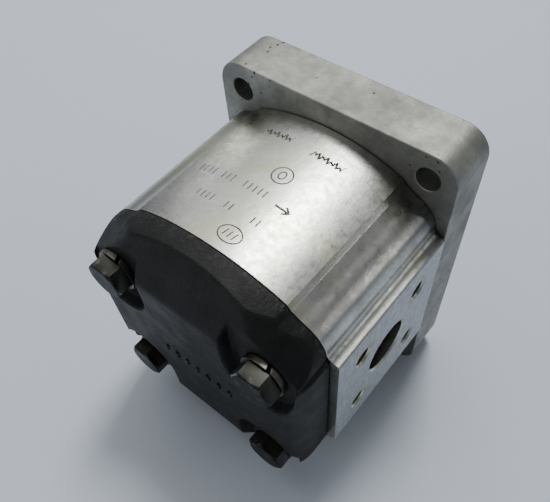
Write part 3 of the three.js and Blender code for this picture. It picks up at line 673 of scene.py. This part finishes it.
# ---- operators ----
class PUMP_OT_flange(bpy.types.Operator):
    """The mounting flange: a rounded slab with a pilot, bored for shaft, seal, dowels and bolts."""

    bl_idname = "pump.flange"
    bl_label = "Mounting flange"

    def execute(self, context):
        sizes = millimetres(context.scene)
        outline = rounded_rectangle(span("mounting_flange", 0)[1], MIDDLE_Z, sizes.flange_corner)
        rear, face = FLANGE_REAR, FLANGE_REAR + sizes.flange_thick
        piece = mesh_object("flange_casting", *prism(outline, rear, face, sizes.flange_edge, 3))
        axis = (0, 0, SHAFT_Z)
        pilot = [
            (face - PAST, sizes.pilot_radius),
            (FLANGE_FRONT - sizes.pilot_chamfer, sizes.pilot_radius),
            (FLANGE_FRONT, sizes.pilot_radius - sizes.pilot_chamfer),
        ]
        carve(piece, [turned_tool(pilot, axis, "Y", 96)], "UNION")
        groove, lead_in = rear + GROOVE_START, 0.5
        bore = [
            (rear - PAST, SHAFT_BORE), (rear + POCKET_START, SHAFT_BORE),
            (rear + POCKET_START, SEAL_POCKET), (groove, SEAL_POCKET), (groove, GROOVE_RADIUS),
            (groove + GROOVE_WIDTH, GROOVE_RADIUS), (groove + GROOVE_WIDTH, SEAL_POCKET),
            (FLANGE_FRONT - lead_in, SEAL_POCKET), (FLANGE_FRONT + PAST, SEAL_POCKET + lead_in + PAST),
        ]
        wide = sizes.flange_hole + FLANGE_MOUTH + PAST
        hole = [
            (rear - PAST, wide), (rear + FLANGE_MOUTH, sizes.flange_hole),
            (face - FLANGE_MOUTH, sizes.flange_hole), (face + PAST, wide),
        ]
        places = [
            (sx * sizes.flange_hole_x, 0, MIDDLE_Z + sz * sizes.flange_hole_z) for sx, sz in CORNERS
        ]
        carve(piece, [
            turned_tool(bore, axis, "Y", 96),
            merged([turned_tool(hole, place, "Y", 48) for place in places]),
            bolt_holes(rear - PAST, rear + BOLT_HOLE_DEPTH),
            dowel_holes("front", rear - PAST, span("dowel_front_1", 1)[1] + DOWEL_GAP),
        ])
        shade(piece, 28)
        finish_piece(piece, cast_aluminium(context.scene.pump_colours),
                     nodes=["mounting_flange"])
        return {"FINISHED"}


class PUMP_OT_body(bpy.types.Operator):
    """The gear body: its section carried along the shafts, then bored for gears and ports."""

    bl_idname = "pump.body"
    bl_label = "Pump body"

    def execute(self, context):
        sizes = millimetres(context.scene)
        rear, front, edge = BODY_REAR - PAST, BODY_FRONT + PAST, 0.15
        outline = section(sizes, HALF_WIDTH, 7)
        piece = mesh_object("body_extrusion", *prism(outline, BODY_REAR, BODY_FRONT, edge))
        tools = [prism(figure_eight(sizes.chamber_radius), rear, front)]
        for side in (1, -1):
            bored = []
            half = sizes.screw_half
            for depth, radius, sides, places in (
                (PORT_DEPTH, sizes.port_radius, 96, [(0, 0)]),
                (SCREW_DEPTH, sizes.screw_radius, 48, [(y * half, z * half) for y, z in CORNERS]),
            ):
                profile = [
                    (side * (HALF_WIDTH - depth), radius),
                    (side * (HALF_WIDTH - PORT_MOUTH), radius),
                    (side * (HALF_WIDTH + PAST), radius + PORT_MOUTH + PAST),
                ]
                for y, z in places:
                    bored.append(turned_tool(profile, (0, MIDDLE_Y + y, MIDDLE_Z + z), "X", sides))
            tools.append(merged(bored))
        tools.append(bolt_holes(rear, front))
        tools.append(dowel_holes("front", span("dowel_front_1", 1)[0] - DOWEL_GAP, front))
        tools.append(dowel_holes("rear", rear, span("dowel_rear_1", 1)[1] + DOWEL_GAP))
        carve(piece, tools)
        shade(piece, 28)
        material = extruded_aluminium(sizes, context.scene.pump_colours)
        finish_piece(piece, material, nodes=["pump_body"])
        return {"FINISHED"}


def cover_depth(sizes, x, z):
    """Depth of the cover behind its joint at (x, z). The lowest of these surfaces, blended: the
    flat rear face; a plane that slopes to the rim above and below; a quarter ellipse over each
    side; a plane that slopes off each shoulder; and, about a bolt, the flat seat with a steep
    wall round a slot that is open upwards."""
    ax, az = np.abs(x), np.abs(z)
    slope = (COVER_THICK - sizes.rim) / (APEX - sizes.front_top)
    top = COVER_THICK - slope * (az - sizes.front_top)
    upright = COVER_HALF_WIDTH + 0.3  # where the ellipse would stand upright, just past the rim
    reach = np.clip((ax - sizes.front_side) / (upright - sizes.front_side), 0, 1)
    side = COVER_THICK - sizes.side_drop * (1 - np.sqrt(1 - reach**2))
    shoulder_turn, shoulder_rise = math.radians(51.7), 1.85
    outwards = ax * math.cos(shoulder_turn) + az * math.sin(shoulder_turn)
    shoulder = sizes.shoulder_rim + shoulder_rise * (sizes.shoulder_reach - outwards)
    from_x = ax - sizes.pocket_x - sizes.pocket_radius
    from_z = np.minimum(az - sizes.pocket_z - sizes.pocket_radius, 0)
    away, wall_rise = np.hypot(from_x, from_z) - sizes.pocket_radius, 3.6
    pocket = smooth_high(np.full_like(away, SEAT_DEPTH), SEAT_DEPTH + wall_rise * away, sizes.fillet)
    casting = smooth_low(np.full_like(top, COVER_THICK), top, sizes.fillet)
    casting = smooth_low(casting, side, sizes.fillet)
    casting = smooth_low(casting, shoulder, 2.5 * sizes.fillet)
    return smooth_low(casting, pocket, 0.8 * sizes.fillet)


def even_steps(outline, count):
    """A closed outline's points, moved along it to lie at equal steps."""
    step = np.linalg.norm(np.roll(outline, -1, 0) - outline, axis=1)
    along = np.concatenate([[0], np.cumsum(step)])
    closed = np.vstack([outline, outline[:1]])
    even = np.linspace(0, along[-1], count, endpoint=False)
    return np.stack([np.interp(even, along, closed[:, i]) for i in (0, 1)], 1)


class PUMP_OT_cover(bpy.types.Operator):
    """The rear cover: one cast surface with filleted lands, slopes and bolt pockets."""

    bl_idname = "pump.cover"
    bl_label = "Rear cover"

    def execute(self, context):
        sizes = millimetres(context.scene)
        rim = even_steps(section(sizes, COVER_HALF_WIDTH, 14), 620)
        reach = np.linalg.norm(rim, axis=1)

        # rings of points (x, depth, z) from the middle of the rear face out to its rounded edge
        turn = np.linspace(0, math.pi / 2, 5)
        inset = sizes.cover_edge * (1 - np.sin(turn))
        drop = sizes.cover_edge * (1 - np.cos(turn))
        plain_share = 0.36  # the flat middle, which needs few rings
        shares = np.concatenate([
            np.linspace(0, plain_share, 10)[1:],
            np.linspace(plain_share, 1, 122)[1:],
        ])
        rings = []
        for share in shares[:, None] * (1 - inset[0] / reach):
            x, z = (rim * share[:, None]).T
            rings.append((x, cover_depth(sizes, x, z), z))
        for pull, fall in zip(inset[1:], drop[1:]):
            x, z = (rim * (1 - pull / reach)[:, None]).T
            rings.append((x, cover_depth(sizes, x, z) - fall, z))

        # then down the rim to a small chamfer at the joint
        chamfer = 0.2
        x, z = rim.T
        rings.append((x, np.full_like(x, chamfer), z))
        x, z = (rim * (1 - chamfer / reach)[:, None]).T
        rings.append((x, np.zeros_like(x), z))
        points = np.vstack([np.column_stack([x, COVER_FRONT - d, z + MIDDLE_Z]) for x, d, z in rings])

        # a fan of triangles about a point closes the middle of either face
        centre_depth = cover_depth(sizes, np.zeros(1), np.zeros(1))[0]
        poles = [(0, COVER_FRONT - centre_depth, MIDDLE_Z), (0, COVER_FRONT, MIDDLE_Z)]
        count, first = len(rim), len(points)
        ring = np.arange(count)
        beside, start = (ring + 1) % count, first - count
        faces = ring_quads(len(rings), count)
        faces += np.column_stack([np.full(count, first), beside, ring]).tolist()
        faces += np.column_stack([np.full(count, first + 1), start + ring, start + beside]).tolist()
        piece = mesh_object("cover_casting", np.vstack([points, poles]), faces)
        shade(piece, 60)
        finish_piece(piece, painted_cast_iron(context.scene.pump_colours),
                     nodes=["rear_cover"])
        return {"FINISHED"}


class PUMP_OT_fasteners(bpy.types.Operator):
    """Cover bolts and split washers, with broken edges."""

    bl_idname = "pump.fasteners"
    bl_label = "Bolts and washers"

    def execute(self, context):
        colours = context.scene.pump_colours
        dark = phosphated_steel(colours)
        plain = turned_metal("zinc_plated_spring_steel", colours.washer, 0.36, 0.52)
        for i in range(1, 5):
            bolt = refined_copy(f"cover_bolt_{i}", f"hex_bolt_{i}", 0.22, 25)
            finish_piece(bolt, dark, nodes=[f"cover_bolt_{i}"])
            washer = refined_copy(f"spring_washer_{i}", f"split_washer_{i}", 0.3, 40)
            finish_piece(washer, plain, nodes=[f"spring_washer_{i}"])
        return {"FINISHED"}


class PUMP_OT_drive_end(bpy.types.Operator):
    """Drive shaft, key, washer and nut, with broken edges."""

    bl_idname = "pump.drive_end"
    bl_label = "Drive end"

    def execute(self, context):
        colours = context.scene.pump_colours
        ground = turned_metal("ground_steel", colours.steel, 0.18, 0.30)
        dark = bpy.data.materials["phosphated_steel"]
        plain = bpy.data.materials["zinc_plated_spring_steel"]
        pieces = (
            ("drive_gear_shaft", "drive_shaft", ground, "ground_steel", 0.2),
            ("shaft_key", "half_moon_key", ground, "ground_steel", 0.2),
            ("shaft_washer", "hub_washer", plain, "washer_steel", 0.3),
            ("shaft_nut", "hub_nut", dark, "bolt_steel", 0.25),
        )
        for node, name, material, slot, width in pieces:
            piece = refined_copy(node, name, width, 30)
            finish_piece(piece, material, body="drive", nodes=[node])
        idler = refined_copy("idler_gear_shaft", "idler_shaft", 0.15, 30)
        finish_piece(idler, ground, body="idler", nodes=["idler_gear_shaft"])
        return {"FINISHED"}


class PUMP_OT_inner(bpy.types.Operator):
    """Finishes for the pieces inside, which keep their CAD shape."""

    bl_idname = "pump.inner"
    bl_label = "Inner pieces"

    def execute(self, context):
        colours = context.scene.pump_colours
        finishes = {
            "bearing_block": turned_metal("turned_aluminium", colours.milled, 0.35, 0.5),
            "liner": turned_metal("sintered_bronze", colours.bronze, 0.35, 0.5, 0.5),
            "seal_circlip": turned_metal("blued_spring_steel", colours.bolt, 0.3, 0.42),
            "dowel": bpy.data.materials["ground_steel"],
            "seal": moulded_rubber(colours),
        }
        for name, node in frame["nodes"].items():
            match = [finish for key, finish in finishes.items() if key in name]
            if match and not node.hide_render:
                node.data.materials.clear()
                node.data.materials.append(match[0])
        return {"FINISHED"}


def stamped_strokes(width):
    """Lines of the stamped marks, each (corners in x and y behind the flange, width, burred): two
    double zigzags, a circle round an oval, two rows of dashes, an arrow, and a hatched oval."""
    strokes = []

    def dashes(x0, y, count, pitch, height, lean=0.0):
        for x in x0 + pitch * np.arange(count):
            ends = [(x - lean * height / 2, y - height / 2), (x + lean * height / 2, y + height / 2)]
            strokes.append((ends, width, False))

    def ellipse(x, y, a, b):
        t = np.linspace(0, 2 * np.pi, 33)
        strokes.append((np.stack([x + a * np.cos(t), y + b * np.sin(t)], 1), width, False))

    for x0, y, wide in ((-17.0, -10.6, 0.8), (2.6, -11.4, 1.1)):
        t = np.arange(15)
        zigzag = np.stack([x0 + t * 0.78, y + np.where(t % 2, 1, -1) * (1 + 0.5 * np.cos(1.7 * t))], 1)
        strokes.append((zigzag, wide * width, True))
        again = np.stack([zigzag[:, 0] + 0.5, 2 * y - zigzag[::-1, 1]], 1)
        strokes.append((again[1:], 0.8 * wide * width, True))
    ellipse(1.4, -24.4, 3.3, 3.3)
    ellipse(1.4, -24.4, 1.1, 1.5)
    for x0, count in ((-23.5, 4), (-14.0, 3), (-5.5, 5)):
        dashes(x0, -33.2, count, 1.9, 2.8)
    strokes.append(([(6.8, -34.4), (11.6, -34.4)], 1.7 * width, True))
    strokes.append(([(9.9, -33.0), (11.8, -34.4), (9.9, -35.8)], 1.5 * width, True))
    for x0, count in ((-15.8, 4), (-4.6, 2), (5.4, 2)):
        dashes(x0, -42.6, count, 1.9, 2.6)
    ellipse(3.6, -50.2, 3.9, 2.9)
    dashes(1.9, -50.2, 3, 1.7, 2.6, 0.2)
    return strokes


class PUMP_OT_marks(bpy.types.Operator):
    """Generic stamped marks on the bulge and cast strokes on the cover."""

    bl_idname = "pump.marks"
    bl_label = "Stamped and cast marks"

    def execute(self, context):
        sizes, colours = millimetres(context.scene), context.scene.pump_colours
        tubes = {True: [], False: []}
        for corners, width, burred in stamped_strokes(sizes.stamp_width):
            corners, radius = np.asarray(corners, float), width / 2
            steps = max(2, int(12 / len(corners)))
            share = np.linspace(0, len(corners) - 1, (len(corners) - 1) * steps + 1)
            x = np.interp(share, np.arange(len(corners)), corners[:, 0])
            y = np.interp(share, np.arange(len(corners)), corners[:, 1])
            sunk = bulge_height(sizes, x) - 0.72 * radius + MIDDLE_Z
            tubes[burred].append(tube(np.column_stack([x, BODY_FRONT + y, sunk]), radius, (0, 0, 1), 8))
        # the stamped lines are tubes sunk most of the way into the bulge and coloured darker than the
        # body: painted shade in the stamped grooves, darker still in the burred lines
        soft = turned_metal("stamped_aluminium", colours.stamp, 0.4, 0.6)
        dark = turned_metal("painted_shade_stamped_aluminium", colours.deep_stamp_shade, 0.25, 0.5, 0.7)
        for burred, name, material in ((False, "stamped_marks", soft), (True, "stamped_burrs", dark)):
            piece = mesh_object(name, *merged(tubes[burred]))
            shade(piece, 60)
            finish_piece(piece, material)

        first_x, pitch, half_height, bar_radius, sunk = -12.5, 4.7, 1.6, 0.55, 0.1
        bars = []
        for i, lean in enumerate((0.2, -0.3, 0.0, 0.3, -0.2, 0.1, -0.1)):
            along = np.array([(-lean, 0, -half_height), (0, 0, 0), (lean, 0, half_height)])
            path = along + (first_x + i * pitch, COVER_REAR + sunk, MIDDLE_Z)
            bars.append(tube(path, bar_radius, (0, 1, 0), 10))
        piece = mesh_object("cast_marks", *merged(bars))
        shade(piece, 60)
        finish_piece(piece, bpy.data.materials["painted_cast_iron"])
        return {"FINISHED"}


class PUMP_OT_stage(bpy.types.Operator):
    """Pale floor, soft lights and the camera."""

    bl_idname = "pump.stage"
    bl_label = "Stage"

    def execute(self, context):
        self.floor(context)
        self.lights(context)
        self.camera(context)
        return {"FINISHED"}

    def floor(self, context):
        """The pump lies on the flange's lower edge and the cover's lower rim, so the floor is the
        plane through those two lines."""
        sizes = millimetres(context.scene)
        flange_y, half, gap = FLANGE_REAR + 0.7, 3000.0, 0.05
        tilt = math.atan2(MIDDLE_Z - APEX, flange_y - COVER_FRONT + sizes.rim)
        points = [(x * half, y * half, -gap) for x, y in ((-1, -1), (1, -1), (1, 1), (-1, 1))]
        floor = mesh_object("floor", points, [(0, 1, 2, 3)])
        place = Matrix.Translation((0, flange_y * MM, 0)) @ Matrix.Rotation(-tilt, 4, "X")
        floor.data.transform(place)
        floor.data.materials.append(paper(context.scene.pump_colours))

    def lights(self, context):
        """A dim room and five soft lights: (name, place in metres, width, height, watts)."""
        world = bpy.data.worlds.new("soft_room")
        world.use_nodes = True
        back = world.node_tree.nodes["Background"]
        back.inputs["Color"].default_value = hex_to_linear("#DCDFE2")
        back.inputs["Strength"].default_value = 0.28
        context.scene.world = world
        centre = Vector((0, 0, MIDDLE_Z * MM))
        for name, place, wide, high, power in (
            ("window", (-0.17, 0.66, 1.36), 0.32, 0.44, 15),
            ("ceiling", (-0.9, 0.5, 1.9), 2.6, 2.2, 19),
            ("left wall", (-1.9, 1.3, 0.80), 0.7, 0.7, 3.2),
            ("right wall", (1.75, 1.15, 0.90), 0.16, 0.8, 2.0),
            ("far wall", (-0.9, -1.9, 1.0), 1.6, 1.2, 11),
        ):
            lamp = bpy.data.lights.new(name, "AREA")
            lamp.shape = "RECTANGLE"
            lamp.size, lamp.size_y = wide, high
            lamp.energy = power
            holder = bpy.data.objects.new(name, lamp)
            holder.location = Vector(place)
            holder.rotation_mode = "QUATERNION"
            holder.rotation_quaternion = (centre - Vector(place)).to_track_quat("-Z", "Y")
            context.scene.collection.objects.link(holder)

    def camera(self, context):
        """A close, high three-quarter view of the cover, top and port side."""
        azimuth, elevation, roll = (math.radians(a) for a in (43.94, 55.87, -5.75))
        lens = bpy.data.cameras.new("camera")
        lens.sensor_width, lens.lens = 36.0, 38.34
        lens.shift_x, lens.shift_y = -0.0058, 0.0654
        lens.clip_start = 0.01
        camera = bpy.data.objects.new("camera", lens)
        context.scene.collection.objects.link(camera)
        from_joint = Vector((83.98, -116.93, 174.24))
        spot = (from_joint + Vector((0, FLANGE_REAR, MIDDLE_Z))) * MM
        turned = Matrix.Rotation(azimuth, 4, "Z") @ Matrix.Rotation(math.pi / 2 - elevation, 4, "X")
        camera.matrix_world = Matrix.Translation(spot) @ turned @ Matrix.Rotation(roll, 4, "Z")
        context.scene.camera = camera


OPERATORS = (
    PUMP_OT_flange, PUMP_OT_body, PUMP_OT_cover, PUMP_OT_fasteners, PUMP_OT_drive_end,
    PUMP_OT_inner, PUMP_OT_marks, PUMP_OT_stage,
)


class PUMP_PT_panel(bpy.types.Panel):
    """Lists the pump's pieces, sizes and colours."""

    bl_idname = "PUMP_PT_panel"
    bl_label = "Gear pump"
    bl_space_type = "VIEW_3D"
    bl_region_type = "UI"
    bl_category = "Pump"

    def draw(self, context):
        for operator in OPERATORS:
            self.layout.operator(operator.bl_idname)
        for group in (context.scene.pump_sizes, context.scene.pump_colours):
            column = self.layout.column()
            for key in group.__annotations__:
                column.prop(group, key)


CLASSES = (PumpSizes, PumpColours, *OPERATORS, PUMP_PT_panel)


def register():
    for made in CLASSES:
        bpy.utils.register_class(made)
    bpy.types.Scene.pump_sizes = bpy.props.PointerProperty(type=PumpSizes)
    bpy.types.Scene.pump_colours = bpy.props.PointerProperty(type=PumpColours)


def unregister():
    del bpy.types.Scene.pump_colours
    del bpy.types.Scene.pump_sizes
    for made in reversed(CLASSES):
        bpy.utils.unregister_class(made)


def main():
    register()
    bpy.ops.pump.flange()
    bpy.ops.pump.body()
    bpy.ops.pump.cover()
    bpy.ops.pump.fasteners()
    bpy.ops.pump.drive_end()
    bpy.ops.pump.inner()
    bpy.ops.pump.marks()
    bpy.ops.pump.stage()


if __name__ == "__main__":
    main()
